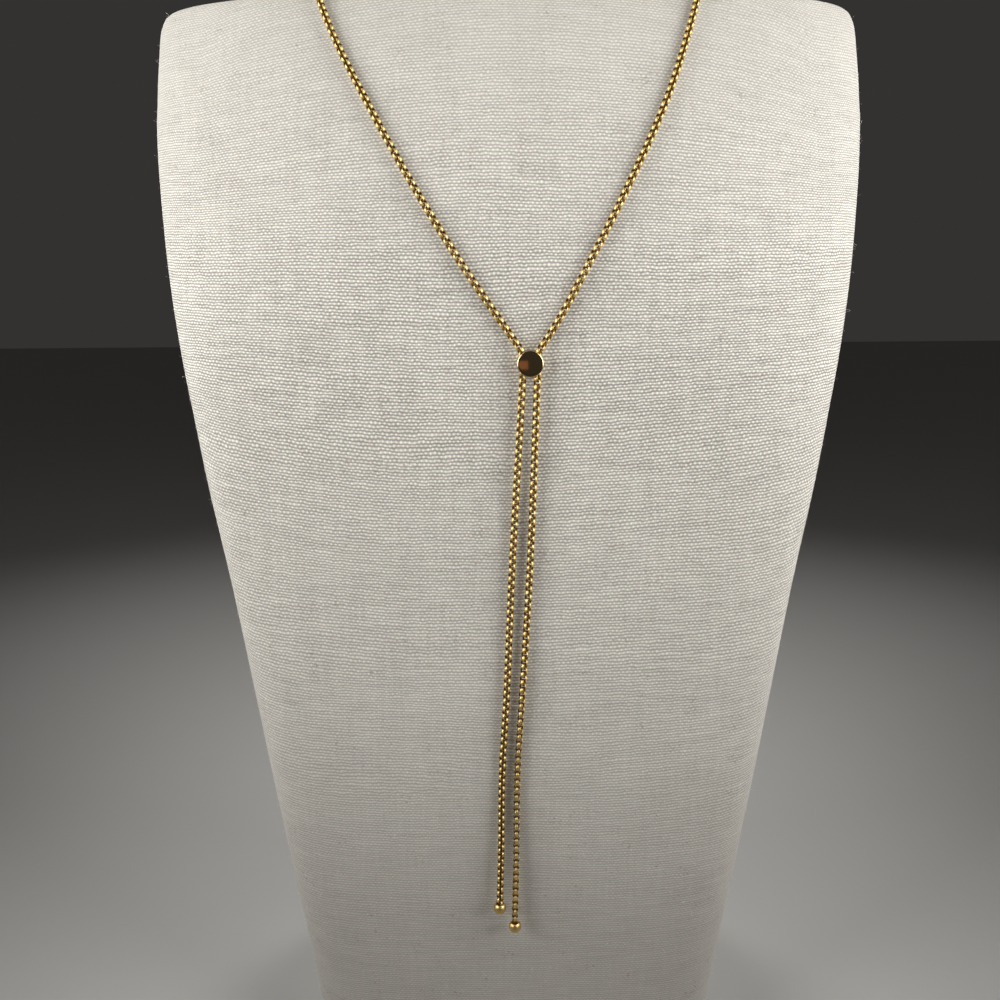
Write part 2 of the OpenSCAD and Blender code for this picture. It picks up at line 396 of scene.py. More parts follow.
# ---------------------------------------------------------------- finishes
def new_finish(name):
    material = bpy.data.materials.new(name)
    material.use_nodes = True
    tree = material.node_tree
    tree.nodes.clear()
    skin = tree.nodes.new("ShaderNodeBsdfPrincipled")
    result = tree.nodes.new("ShaderNodeOutputMaterial")
    tree.links.new(skin.outputs["BSDF"], result.inputs["Surface"])
    return material, tree, skin


# From thread to thread, across and up.
WARP = 0.61
WEFT = 0.92
# The cloth's colours: between the threads, darkened with painted shade; on them; and of the
# flecks.
PAINTED_GAP_SHADE = (0.125, 0.112, 0.098, 1)
THREAD_TOP = (0.99, 0.955, 0.885, 1)
FLECK = (0.22, 0.165, 0.11, 1)


def linen_finish():
    """Plain woven linen. The map counts threads: warp across, weft up."""
    material, tree, skin = new_finish("plain_woven_linen")
    m = sums(tree, "ShaderNodeMath")
    threads = put(tree, "ShaderNodeUVMap", uv_map="threads")
    split = put(tree, "ShaderNodeSeparateXYZ", {0: out(threads)})
    across, up = out(split, "X"), out(split, "Y")
    place = put(tree, "ShaderNodeSeparateXYZ",
                {0: out(put(tree, "ShaderNodeTexCoord"), "Object")})

    def spot(x, y):
        return out(put(tree, "ShaderNodeCombineXYZ", {"X": x, "Y": y}))

    def noise_at(at, detail=1.0, rough=0.5):
        return out(put(tree, "ShaderNodeTexNoise", {
            "Vector": at, "Scale": 1.0, "Detail": detail, "Roughness": rough},
            noise_dimensions="2D"))

    def noise(across_scale, up_scale, shift=0.0, detail=1.0, rough=0.5):
        return noise_at(spot(m("MULTIPLY_ADD", across, across_scale, shift),
                             m("MULTIPLY", up, up_scale)), detail, rough)

    def along_thread(number, along, scale, shift=0.0):
        """A noise that runs along each thread, and differs from thread to thread."""
        apart = 7.31
        return noise_at(spot(m("MULTIPLY", number, apart),
                             m("MULTIPLY_ADD", along, scale, shift)))

    def around(value, amount):
        """A share from 0 to 1 made a swing about 0."""
        return m("MULTIPLY", m("SUBTRACT", value, 0.5), amount)

    def by_height(low, high, at_low, at_high):
        """One value below a height, another above a second, and between them between."""
        return out(put(tree, "ShaderNodeMapRange", {
            "Value": out(place, "Z"), "From Min": low, "From Max": high, "To Min": at_low,
            "To Max": at_high}))

    # Threads wander a little, and the weft is beaten more and less tightly.
    u = m("ADD", m("ADD", across, around(noise(0.02, 0.035), 1.6)),
          around(noise(0.33, 0.30, 11.0), 0.5))
    v = m("ADD", m("ADD", up, around(noise(0.008, 0.030, 53.0), 4.2)),
          around(noise(0.21, 0.42, 31.0), 0.72))
    warp_no, weft_no = m("FLOOR", u), m("FLOOR", v)
    warp_in = m("SUBTRACT", m("FRACT", u), 0.5)
    weft_in = m("SUBTRACT", m("FRACT", v), 0.5)
    # 1 where the warp passes over the weft, and -1 where it passes under.
    over = m("MULTIPLY_ADD", m("MODULO", m("ADD", m("ADD", warp_no, weft_no), 4000.0), 2.0),
             2.0, -1.0)
    warp_round = m("COSINE", m("MULTIPLY", warp_in, math.pi))
    weft_round = m("COSINE", m("MULTIPLY", weft_in, math.pi))
    crossing = m("MULTIPLY", over, m("MULTIPLY", warp_round, weft_round))
    row = m("COSINE", m("MULTIPLY", weft_in, 2 * math.pi))
    column = m("COSINE", m("MULTIPLY", warp_in, 2 * math.pi))
    # A slub makes a thread thicker, and lighter, for a while.
    slub = m("ADD", around(along_thread(weft_no, across, 0.05), 0.27),
             around(along_thread(warp_no, up, 0.06, 90.0), 0.16))
    spun = out(put(tree, "ShaderNodeTexWhiteNoise", {"Vector": spot(warp_no, weft_no)},
                   noise_dimensions="2D"), "Value")
    full = m("MULTIPLY", m("MULTIPLY_ADD", spun, 0.26, 0.09), by_height(0.10, 0.20, 0.55, 1.0))
    grain = around(noise(1.7, 1.9, 63.0, 2.0, 0.6), 0.26)
    high = m("ADD", m("ADD", m("MULTIPLY_ADD", row, 0.27, 0.5), m("ADD", slub, grain)),
             m("MULTIPLY_ADD", crossing, full, m("MULTIPLY", column, 0.03)), clamp=True)
    # Towards the foot the cloth is felted, and over the shoulders it is drawn tight: in
    # both places its weave is softer.
    clear = m("MULTIPLY", by_height(0.05, 0.215, 0.36, 1.0), by_height(0.25, 0.315, 1.0, 0.44))
    woven = m("MULTIPLY_ADD", m("SUBTRACT", high, 0.5), clear, 0.5)

    # The weave's colour is partly painted shade: darkest in the gaps between the threads and
    # between the rows.
    weave = mixed(tree, woven, PAINTED_GAP_SHADE, THREAD_TOP)
    # Bits of bark and dark fibre that are spun into the threads.
    fleck = put(tree, "ShaderNodeMapRange", {
        "Value": m("MULTIPLY_ADD", noise(0.09, 0.11, 77.0), 0.35,
                   m("MULTIPLY", noise(0.50, 1.1, 5.0, 3.0, 0.7), 0.80)),
        "From Min": 0.725, "From Max": 0.81, "To Min": 0.0, "To Max": 0.6})
    flecked = mixed(tree, out(fleck), weave, FLECK)
    # Broad, faint patches where the cloth is a little lighter or darker.
    cloud = m("ADD", around(noise(0.03, 0.05, 21.0, 4.0, 0.6), 0.10), 1.0)
    toned = put(tree, "ShaderNodeVectorMath", {0: flecked, "Scale": cloud}, operation="SCALE")
    tree.links.new(toned.outputs["Vector"], skin.inputs["Base Color"])
    bump = put(tree, "ShaderNodeBump", {"Height": woven, "Strength": 0.35,
                                        "Distance": 0.2 * MM})
    tree.links.new(bump.outputs["Normal"], skin.inputs["Normal"])
    skin.inputs["Roughness"].default_value = 0.92
    skin.inputs["Specular IOR Level"].default_value = 0.15
    skin.inputs["Sheen Weight"].default_value = 0.06
    skin.inputs["Sheen Roughness"].default_value = 0.5
    return material


def gold_finish(name, colour, roughness, scratch, painted_recess_shade=None):
    """Polished gold-tone plate with faint wear, and painted shade darkening the recesses of the
    links.
    """
    material, tree, skin = new_finish(name)
    place = out(put(tree, "ShaderNodeTexCoord"), "Object")
    m = sums(tree, "ShaderNodeMath")
    fine = put(tree, "ShaderNodeTexNoise", {"Vector": place, "Scale": 900.0, "Detail": 4.0,
                                             "Roughness": 0.65})
    broad = put(tree, "ShaderNodeTexNoise", {"Vector": place, "Scale": 220.0, "Detail": 2.0})
    rough = m("MULTIPLY_ADD", out(fine), scratch, roughness - scratch / 2)
    tree.links.new(rough, skin.inputs["Roughness"])
    tint = put(tree, "ShaderNodeValToRGB", {0: out(broad)})
    worn, bright = tint.color_ramp.elements
    worn.position = 0.35
    worn.color = (colour[0] * 0.95, colour[1] * 0.92, colour[2] * 0.85, 1)
    bright.position = 0.65
    bright.color = (*colour, 1)
    shade = out(tint)
    # Away from the crowns and the outer face the links get painted shade: a dark brown colour
    # mixed in.
    if painted_recess_shade:
        crown = put(tree, "ShaderNodeAttribute", attribute_name="crown")
        outer = put(tree, "ShaderNodeAttribute", attribute_name="outer")
        outside_painted_shade = put(tree, "ShaderNodeMapRange", {
            "Value": m("MULTIPLY", out(crown, "Fac"), out(outer, "Fac")), "From Min": -0.05,
            "From Max": 0.55, "To Min": 0.0, "To Max": 1.0})
        shade = mixed(tree, out(outside_painted_shade), (*painted_recess_shade, 1), shade)
    tree.links.new(shade, skin.inputs["Base Color"])
    skin.inputs["Metallic"].default_value = 1.0
    skin.inputs["Specular Tint"].default_value = (1.0, 0.80, 0.50, 1)
    bump = put(tree, "ShaderNodeBump", {"Height": out(fine), "Strength": 0.08,
                                        "Distance": 0.02 * MM})
    tree.links.new(bump.outputs["Normal"], skin.inputs["Normal"])
    return material


def plain_finish(name, colour, roughness):
    material, tree, skin = new_finish(name)
    skin.inputs["Base Color"].default_value = (*colour, 1)
    skin.inputs["Roughness"].default_value = roughness
    return material


# ---------------------------------------------------------------- putting pieces in
def add_piece(name, mesh, finish, smooth=True):
    for polygon in mesh.polygons:
        polygon.use_smooth = smooth
    mesh.materials.clear()
    mesh.materials.append(finish)
    piece = bpy.data.objects.new(name, mesh)
    bpy.context.scene.collection.objects.link(piece)
    return piece


def made_plain(piece):
    """The piece with its modifiers applied and taken off."""
    bpy.context.view_layer.update()
    evaluated = piece.evaluated_get(bpy.context.evaluated_depsgraph_get())
    mesh = bpy.data.meshes.new_from_object(evaluated)
    piece.modifiers.clear()
    old = piece.data
    piece.data = mesh
    mesh.name = piece.name
    if old.users == 0:
        bpy.data.meshes.remove(old)
    return piece


def shade_by_angle(piece, degrees):
    """Smooth shading, with the edges sharper than this kept sharp."""
    mesh = piece.data
    work = bmesh.new()
    work.from_mesh(mesh)
    for edge in work.edges:
        if len(edge.link_faces) == 2:
            edge.smooth = edge.calc_face_angle() < math.radians(degrees)
    for face in work.faces:
        face.smooth = True
    work.to_mesh(mesh)
    work.free()


# ---------------------------------------------------------------- the covered bust
RING_POINTS = 176
COVER_STEPS = 5
RING_SPACING = 3.0
LEAST_SPACING = 0.05
EDGE_TURNS = np.radians([90, 72, 54, 36, 18])
END_RINGS = (0.85, 0.6, 0.3)
# The smooth loft lies a little outside the solid's chords, so it is drawn in to keep
# clear of the links.
CLOTH = -0.08
# The cloth draws the shoulders' corners a little squarer than the solid form: the
# width shares of a few sections, by height.
SQUARER = {0.982: 0.017, 0.991: 0.030, 0.9965: 0.052, 0.999: 0.115, 1.000: 0.42, 1.035: 0.50,
           1.100: 0.56}
# Up to this share of the shoulders' height the rows of threads lie level.
LEVEL_TO = 0.975
# How much closer the weft is, by height.
CLOSER = np.array([[0.0, 1.05], [100.0, 1.05], [170.0, 1.0]])
# How much the weft rises to the sides (in mm for each square mm), by height, and how
# far from the middle it still does.
PULL = np.array([[0, 0.0002], [90, 0.0004], [160, 0.0008], [205, 0.0010], [256, 0.0],
                 [300, -0.0016], [326, -0.0018], [385, -0.0018]])
PULL_REACH = 90.0


def bust_ring(table, z, inset):
    """The points of the cloth at one height, from the middle of the back and round."""
    value = [np.interp(z, table[:, HEIGHT], column) for column in table.T]
    middle, depth = (value[BACK] - value[FRONT]) / 2, (value[BACK] + value[FRONT]) / 2
    a = np.pi / 2 + 2 * np.pi * np.arange(RING_POINTS) / RING_POINTS
    c, s = np.round(np.cos(a), 12), np.round(np.sin(a), 12)
    n = np.where(s < 0, value[FRONT_SQUARE], value[BACK_SQUARE])
    return np.stack([
        (value[HALF_WIDTH] + CLOTH - inset) * np.sign(c) * np.abs(c) ** (2 / n),
        middle + (depth + CLOTH - inset) * np.sign(s) * np.abs(s) ** (2 / n),
        np.full(RING_POINTS, z)], 1)


def cloth_rings():
    """The rings of the cloth from the base to the top, both ends rounded."""
    table = ring_table(COVER_STEPS, [[r[0], SQUARER.get(r[0], r[1]), *r[2:]] for r in SECTIONS])
    # The cloth rounds the crease that the solid has at its foremost height.
    fronts = [[size_at(r[2], BASE_FRONT, CHEST_FRONT, NECK_FRONT)] for r in SECTIONS]
    table[:, FRONT] = smooth_rows(fronts, COVER_STEPS)[:, 0]
    edge = [(EDGE_R * (1 - math.sin(a)), EDGE_R * (1 - math.cos(a))) for a in EDGE_TURNS]
    heights = [EDGE_R]
    between = (table[:, HEIGHT] >= EDGE_R) & (table[:, HEIGHT] <= BUST_H - EDGE_R)
    for z in table[between, HEIGHT]:
        while z - heights[-1] > RING_SPACING:
            left = z - heights[-1]
            heights.append(heights[-1] + left / math.ceil(left / RING_SPACING))
        if z > heights[-1] + LEAST_SPACING:
            heights.append(z)
    rings = [bust_ring(table, z, inset) for z, inset in edge]
    rings += [bust_ring(table, z, 0.0) for z in heights]
    rings += [bust_ring(table, BUST_H - z, inset) for z, inset in reversed(edge)]
    return np.array(rings)


def thread_counts(rings):
    """Across: the way round each ring from the middle of the front. Up: the way up each
    meridian. Both in millimetres."""
    count, sides = len(rings), RING_POINTS
    closed = np.concatenate([rings, rings[:, :1]], 1)
    across = np.concatenate([np.zeros((count, 1)), np.cumsum(
        np.linalg.norm(np.diff(closed, axis=1), axis=2), 1)], 1)
    across = across[:, -1:] / 2 - across
    rise = np.linalg.norm(np.diff(rings, axis=0), axis=2)
    level = rings[1:, :, 2] <= LEVEL_TO * SHOULDER_H
    rise[level] = np.broadcast_to(rise[:, sides // 2:sides // 2 + 1], rise.shape)[level]
    rise *= np.interp(rings[1:, 0, 2], CLOSER[:, 0], CLOSER[:, 1])[:, None]
    up = np.concatenate([np.zeros((1, sides)), np.cumsum(rise, 0)], 0)
    up = np.concatenate([up, up[:, :1]], 1)
    # The weft was pulled into a curve when the cloth was fitted: down at the sides near
    # the shoulders, and up at the sides below the chest.
    pulled = np.interp(rings[:, 0, 2], PULL[:, 0], PULL[:, 1])[:, None]
    return across, up - pulled * np.minimum(np.abs(across), PULL_REACH) ** 2


def covered_bust(finish):
    """The bust under its linen, with a map that counts the cloth's threads."""
    rings = cloth_rings()
    across, up = thread_counts(rings)
    count, sides = len(rings), RING_POINTS
    work = bmesh.new()
    layer = work.loops.layers.uv.new("threads")
    verts = [[work.verts.new(p * MM) for p in ring] for ring in rings]
    for i in range(count - 1):
        for j in range(sides):
            k = (j + 1) % sides
            face = work.faces.new((verts[i][j], verts[i][k], verts[i + 1][k], verts[i + 1][j]))
            corners = ((i, j), (i, j + 1), (i + 1, j + 1), (i + 1, j))
            for loop, (r, q) in zip(face.loops, corners):
                loop[layer].uv = (across[r, q] / WARP, up[r, q] / WEFT)
    # The two ends are closed with rings that shrink to a point, whose map counts the
    # threads straight across and from front to back.
    flat = []
    for end, turn in ((0, -1), (count - 1, 1)):
        middle = rings[end].mean(0)
        middle[2] = rings[end][0][2]
        before = verts[end]
        for share in END_RINGS:
            ring = [work.verts.new((middle + (p - middle) * share) * MM) for p in rings[end]]
            for j in range(sides):
                k = (j + 1) % sides
                flat.append(work.faces.new((before[j], before[k], ring[k], ring[j])[::turn]))
            before = ring
        tip = work.verts.new(middle * MM)
        for j in range(sides):
            pair = (before[j], before[(j + 1) % sides])[::turn]
            flat.append(work.faces.new((*pair, tip)))
    for face in flat:
        for loop in face.loops:
            loop[layer].uv = (loop.vert.co.x / MM / WARP, loop.vert.co.y / MM / WEFT)
    mesh = bpy.data.meshes.new("linen_bust")
    work.to_mesh(mesh)
    work.free()
    return add_piece("linen_bust", mesh, finish)


# ---------------------------------------------------------------- loose fibres
FIBRE_POINTS = 4
FIBRE_SIDES = 3
# How far a fibre bends, as shares of its length, and how far it may lean, in radians.
FIBRE_BEND = (0.6, -0.35)
FIBRE_LEAN = 1.15
FIBRE_SCALES = (0.35, 1.25)


def fibres_tree(finish):
    """Fine loose fibres that stand off the cloth, each bent and turned its own way."""
    tree = bpy.data.node_groups.new("fibres_on_the_cloth", "GeometryNodeTree")
    face = tree.interface
    face.new_socket("Cloth", in_out="INPUT", socket_type="NodeSocketGeometry")
    for name, value in (("Fibres per square metre", 42000.0), ("Length", 1.3 * MM),
                        ("Radius", 0.019 * MM), ("Lowest", 8.0 * MM)):
        socket = face.new_socket(name, in_out="INPUT", socket_type="NodeSocketFloat")
        socket.default_value = value
    face.new_socket("Seed", in_out="INPUT", socket_type="NodeSocketInt").default_value = 11
    face.new_socket("Fibres", in_out="OUTPUT", socket_type="NodeSocketGeometry")
    given = tree.nodes.new("NodeGroupInput")
    m = sums(tree, "ShaderNodeMath")
    at = put(tree, "ShaderNodeSeparateXYZ", {0: out(put(tree, "GeometryNodeInputPosition"))})
    above = put(tree, "FunctionNodeCompare", {0: out(at, "Z"), 1: given.outputs["Lowest"]},
                data_type="FLOAT", operation="GREATER_THAN")
    spots = put(tree, "GeometryNodeDistributePointsOnFaces", {
        "Mesh": given.outputs["Cloth"], "Selection": out(above, "Result"),
        "Density": given.outputs["Fibres per square metre"], "Seed": given.outputs["Seed"]})
    # One fibre is a bent tube.
    start = put(tree, "GeometryNodeCurvePrimitiveLine", {
        "End": out(put(tree, "ShaderNodeCombineXYZ", {"Z": given.outputs["Length"]}))})
    fine = put(tree, "GeometryNodeResampleCurve", {"Curve": out(start), "Count": FIBRE_POINTS})
    share = out(put(tree, "GeometryNodeSplineParameter"), "Factor")
    aside, down = (m("MULTIPLY", m("MULTIPLY", share, share),
                     m("MULTIPLY", given.outputs["Length"], bend)) for bend in FIBRE_BEND)
    offset = put(tree, "ShaderNodeCombineXYZ", {"X": aside, "Z": down})
    bent = put(tree, "GeometryNodeSetPosition", {"Geometry": out(fine), "Offset": out(offset)})
    round_side = put(tree, "GeometryNodeCurvePrimitiveCircle", {
        "Resolution": FIBRE_SIDES, "Radius": given.outputs["Radius"]})
    fibre = put(tree, "GeometryNodeCurveToMesh", {
        "Curve": out(bent), "Profile Curve": out(round_side, "Curve"), "Fill Caps": True})

    def chance(low, high, seed, kind="FLOAT"):
        node = put(tree, "FunctionNodeRandomValue", {"Seed": seed}, data_type=kind)
        wanted = "VECTOR" if kind == "FLOAT_VECTOR" else "VALUE"
        limits = [s for s in node.inputs if s.type == wanted and s.name in ("Min", "Max")]
        limits[0].default_value, limits[1].default_value = low, high
        return next(s for s in node.outputs if s.type == wanted)

    way_out = put(tree, "FunctionNodeAlignRotationToVector", {
        "Vector": out(spots, "Normal")}, axis="Z")
    tilt = put(tree, "FunctionNodeEulerToRotation", {
        "Euler": chance((-FIBRE_LEAN, -FIBRE_LEAN, 0.0), (FIBRE_LEAN, FIBRE_LEAN, 6.28), 3,
                        "FLOAT_VECTOR")})
    facing = put(tree, "FunctionNodeRotateRotation", {
        "Rotation": out(way_out), "Rotate By": out(tilt)}, rotation_space="LOCAL")
    placed = put(tree, "GeometryNodeInstanceOnPoints", {
        "Points": out(spots, "Points"), "Instance": out(fibre), "Rotation": out(facing),
        "Scale": chance(*FIBRE_SCALES, 5)})
    real = put(tree, "GeometryNodeRealizeInstances", {"Geometry": out(placed)})
    finished = put(tree, "GeometryNodeSetMaterial", {"Geometry": out(real), "Material": finish})
    result = tree.nodes.new("NodeGroupOutput")
    tree.links.new(out(finished), result.inputs["Fibres"])
    return tree


def cloth_fibres(cloth, finish):
    piece = bpy.data.objects.new("linen_fibres", cloth.data.copy())
    bpy.context.scene.collection.objects.link(piece)
    maker = piece.modifiers.new("fibres", "NODES")
    maker.node_group = fibres_tree(finish)
    return made_plain(piece)


# ---------------------------------------------------------------- the chain's links
def links_tree(finish, pitch):
    """Rounded box links along a line, each turned a quarter from the one before."""
    tree = bpy.data.node_groups.new("links_along_the_route", "GeometryNodeTree")
    face = tree.interface
    face.new_socket("Route", in_out="INPUT", socket_type="NodeSocketGeometry")
    for name, value in (("Pitch", pitch), ("Link length", LINK_L), ("Link width", LINK_D),
                        ("Strip width", STRIP_W), ("Strip thickness", STRIP_T)):
        socket = face.new_socket(name, in_out="INPUT", socket_type="NodeSocketFloat")
        socket.default_value = value * MM
    for name, value in (("Squareness", SQUARENESS), ("Corner pinch", CORNER_PINCH)):
        socket = face.new_socket(name, in_out="INPUT", socket_type="NodeSocketFloat")
        socket.default_value = value
    face.new_socket("Links", in_out="OUTPUT", socket_type="NodeSocketGeometry")
    given = tree.nodes.new("NodeGroupInput")
    m = sums(tree, "ShaderNodeMath")

    # One link: a rounded square path swept with a flat rounded strip, laid flat and
    # then stood up.
    circle = put(tree, "GeometryNodeCurvePrimitiveCircle", {
        "Resolution": LINK_POINTS, "Radius": 1.0})
    at = put(tree, "ShaderNodeSeparateXYZ", {0: out(put(tree, "GeometryNodeInputPosition"))})
    power = m("DIVIDE", 2.0, given.outputs["Squareness"])

    def squared(value, outer):
        half = m("MULTIPLY", m("SUBTRACT", outer, given.outputs["Strip thickness"]), 0.5)
        share = m("MULTIPLY", m("SIGN", value), m("POWER", m("ABSOLUTE", value), power))
        return m("MULTIPLY", share, half)

    kept_place = put(tree, "GeometryNodeCaptureAttribute", {"Geometry": out(circle, "Curve")},
                     domain="POINT")
    kept_place.capture_items.new("VECTOR", "place")
    tree.links.new(out(put(tree, "GeometryNodeInputPosition")), kept_place.inputs["place"])
    kept = put(tree, "ShaderNodeSeparateXYZ", {0: kept_place.outputs["place"]})
    # The strip is widest in the middle of each side, and narrow at the corners.
    corner = m("MULTIPLY", out(at, "X"), out(at, "Y"))
    waist = put(tree, "GeometryNodeSetCurveRadius", {
        "Curve": out(kept_place),
        "Radius": m("MULTIPLY_ADD", m("MULTIPLY", corner, corner),
                    m("MULTIPLY", given.outputs["Corner pinch"], -4.0), 1.0)})
    path = put(tree, "GeometryNodeSetPosition", {
        "Geometry": out(waist), "Position": out(put(tree, "ShaderNodeCombineXYZ", {
            "X": squared(out(at, "X"), given.outputs["Link width"]),
            "Y": squared(out(at, "Y"), given.outputs["Link length"])}))})
    # The strip's section is turned so that a flat side of it faces outwards.
    strip_turn = math.pi / STRIP_SIDES
    strip = put(tree, "GeometryNodeCurvePrimitiveCircle", {
        "Resolution": STRIP_SIDES, "Radius": 1.0})
    strip = put(tree, "GeometryNodeTransform", {
        "Geometry": out(strip, "Curve"), "Rotation": (0, 0, strip_turn)})
    strip = put(tree, "GeometryNodeStoreNamedAttribute", {
        "Geometry": out(strip), "Name": "outer", "Value": out(at, "X")},
        data_type="FLOAT", domain="POINT")
    strip = put(tree, "GeometryNodeTransform", {
        "Geometry": out(strip), "Scale": out(put(tree, "ShaderNodeCombineXYZ", {
            "X": m("MULTIPLY", given.outputs["Strip thickness"], 0.5 / math.cos(strip_turn)),
            "Y": m("MULTIPLY", given.outputs["Strip width"], 0.5), "Z": 1.0}))})
    # Marks for the finish's painted shade, which darkens the links away from them: 1 on the
    # crowns of the sides, and 1 on the strip's outer face.
    crown = m("MULTIPLY", out(kept, "X"), out(kept, "X"))
    path = put(tree, "GeometryNodeStoreNamedAttribute", {
        "Geometry": out(path), "Name": "crown", "Value": crown},
        data_type="FLOAT", domain="POINT")
    ring = put(tree, "GeometryNodeCurveToMesh", {
        "Curve": out(path), "Profile Curve": out(strip),
        "Scale": out(put(tree, "GeometryNodeInputRadius"))})
    link = put(tree, "GeometryNodeTransform", {
        "Geometry": out(ring), "Rotation": (math.radians(90), 0, 0)})
    link = put(tree, "GeometryNodeSetShadeSmooth", {"Geometry": out(link)})

    # The links stand along the route, and each is turned a quarter further.
    route = put(tree, "GeometryNodeMeshToCurve", {"Mesh": given.outputs["Route"]})
    points = put(tree, "GeometryNodeCurveToPoints", {
        "Curve": out(route), "Length": given.outputs["Pitch"]}, mode="LENGTH")
    lift = put(tree, "GeometryNodeInputNamedAttribute", {"Name": "lift"},
               data_type="FLOAT_VECTOR")
    turn = put(tree, "GeometryNodeInputNamedAttribute", {"Name": "turn"}, data_type="FLOAT")
    number = put(tree, "GeometryNodeInputIndex")
    upright = put(tree, "FunctionNodeAxesToRotation", {
        "Primary Axis": out(points, "Tangent"), "Secondary Axis": out(lift, "Attribute")},
        primary_axis="Z", secondary_axis="X")
    quarter = m("ADD", m("MULTIPLY", out(number), math.radians(90)), out(turn, "Attribute"))
    spin = put(tree, "FunctionNodeEulerToRotation", {"Euler": out(put(
        tree, "ShaderNodeCombineXYZ", {"Z": quarter}))})
    facing = put(tree, "FunctionNodeRotateRotation", {
        "Rotation": out(upright), "Rotate By": out(spin)}, rotation_space="LOCAL")
    placed = put(tree, "GeometryNodeInstanceOnPoints", {
        "Points": out(points, "Points"), "Instance": out(link), "Rotation": out(facing)})
    real = put(tree, "GeometryNodeRealizeInstances", {"Geometry": out(placed)})
    gilded = put(tree, "GeometryNodeSetMaterial", {"Geometry": out(real), "Material": finish})
    result = tree.nodes.new("NodeGroupOutput")
    tree.links.new(out(gilded), result.inputs["Links"])
    return tree


def chain_links(finish):
    """The links, each a loose closed shape that passes through the next."""
    line, along = links_line()
    mesh = bpy.data.meshes.new("chain_route")
    mesh.from_pydata((line * MM).tolist(), [(i, i + 1) for i in range(len(line) - 1)], [])
    lift = mesh.attributes.new("lift", "FLOAT_VECTOR", "POINT")
    lift.data.foreach_set("vector", np.array([normal_at(p) for p in line], np.float32).ravel())
    turn = mesh.attributes.new("turn", "FLOAT", "POINT")
    turn.data.foreach_set("value", np.radians(np.interp(along, TURNS[:, 0], TURNS[:, 1])))
    piece = bpy.data.objects.new("chain_links", mesh)
    bpy.context.scene.collection.objects.link(piece)
    maker = piece.modifiers.new("links", "NODES")
    # A whole number of links, less a hair so that the last one isn't lost to rounding.
    length = np.linalg.norm(np.diff(line, axis=0), axis=1).sum()
    maker.node_group = links_tree(finish, length / round(length / PITCH) - 1e-5)
    return made_plain(piece), length


# ---------------------------------------------------------------- slider and balls
BALL_SIDES = 64
BALL_STEPS = 32
LIP = 0.12
LIP_DEPTH = 0.8  # as a share of its width
SOCKET_BEVEL = 0.1
DISC_SIDES = 128
DISC_STEPS = 8
RIM_STEPS = 6
FACE_CROWN = 0.14
BORE_SIDES = 48
BORE_EASE = 0.05
DRILL_REACH = 8


def turned_on_lathe(name, profile, steps):
    """A solid of revolution about Z from (radius, height) points, ends on the axis."""
    work = bmesh.new()
    angles = [2 * math.pi * k / steps for k in range(steps)]
    rings = []
    for radius, height in profile:
        turns = angles if radius > 1e-9 else [0]
        rings.append([work.verts.new((radius * MM * math.cos(a), radius * MM * math.sin(a),
                                      height * MM)) for a in turns])
    for low, high in zip(rings, rings[1:]):
        for j in range(steps):
            k = (j + 1) % steps
            if len(low) == 1:
                work.faces.new((low[0], high[k], high[j]))
            elif len(high) == 1:
                work.faces.new((low[j], low[k], high[0]))
            else:
                work.faces.new((low[j], low[k], high[k], high[j]))
    bmesh.ops.recalc_face_normals(work, faces=work.faces)
    mesh = bpy.data.meshes.new(name)
    work.to_mesh(mesh)
    work.free()
    return mesh


def end_ball(name, middle, finish):
    """A ball with a socket in its top, whose lip is rounded over."""
    radius, bore = BALL_D / 2, BORE_D / 2
    top = math.asin((bore + LIP) / radius)
    profile = [(0.0, -radius)]
    for k in range(1, BALL_STEPS + 1):
        a = math.pi - (math.pi - top) * k / BALL_STEPS
        profile.append((radius * math.sin(a), radius * math.cos(a)))
    height = profile[-1][1]
    for a in np.radians([22.5, 45, 67.5, 90]):
        profile.append((bore + LIP * (1 - math.sin(a)),
                        height - LIP * (1 - math.cos(a)) * LIP_DEPTH))
    profile += [(bore, SOCKET_FLOOR + SOCKET_BEVEL), (bore - SOCKET_BEVEL, SOCKET_FLOOR),
                (0.0, SOCKET_FLOOR)]
    mesh = turned_on_lathe(name, profile, BALL_SIDES)
    mesh.transform(Matrix.Translation(Vector(middle) * MM))
    piece = add_piece(name, mesh, finish)
    shade_by_angle(piece, 50)
    return piece


def disc_slider(finish):
    """A polished disc with rounded rims, standing on its edge, with two bores."""
    radius, half, rim = SLIDER_D / 2, SLIDER_T / 2, SLIDER_BEVEL

    def face_at(r):
        return -half + FACE_CROWN * (r / radius) ** 2

    profile = [(r, face_at(r)) for r in np.linspace(0, radius - rim, DISC_STEPS + 1)[:-1]]
    for k in range(RIM_STEPS + 1):
        a = math.radians(90 * k / RIM_STEPS)
        r = radius - rim * (1 - math.sin(a))
        profile.append((r, face_at(r) + rim * (1 - math.cos(a))))
    profile += [(r, -h) for r, h in reversed(profile)]
    mesh = turned_on_lathe("slider_disc", profile, DISC_SIDES)
    mesh.transform(Matrix.Rotation(math.radians(90), 4, "X"))
    piece = add_piece("slider_disc", mesh, finish)
    drills = []
    for side in (-1, 1):
        drill = turned_on_lathe("drill", [
            (0, -DRILL_REACH), (BORE_D / 2, -DRILL_REACH), (BORE_D / 2, DRILL_REACH),
            (0, DRILL_REACH)], BORE_SIDES)
        drill.transform(Matrix.Translation((side * BORE_PITCH / 2 * MM, 0, 0)))
        drills.append(add_piece("drill_%d" % side, drill, finish))
        cut = piece.modifiers.new("bore", "BOOLEAN")
        cut.operation = "DIFFERENCE"
        cut.solver = "EXACT"
        cut.object = drills[-1]
    ease = piece.modifiers.new("eased_edges", "BEVEL")
    ease.width = BORE_EASE * MM
    ease.segments = 2
    ease.limit_method = "ANGLE"
    ease.angle_limit = math.radians(40)
    made_plain(piece)
    for drill in drills:
        bpy.data.objects.remove(drill)
    piece.data.transform(Matrix.Translation(Vector(slider_middle) * MM)
                         @ Matrix.Rotation(-slider_lean, 4, "X"))
    shade_by_angle(piece, 35)
    return piece


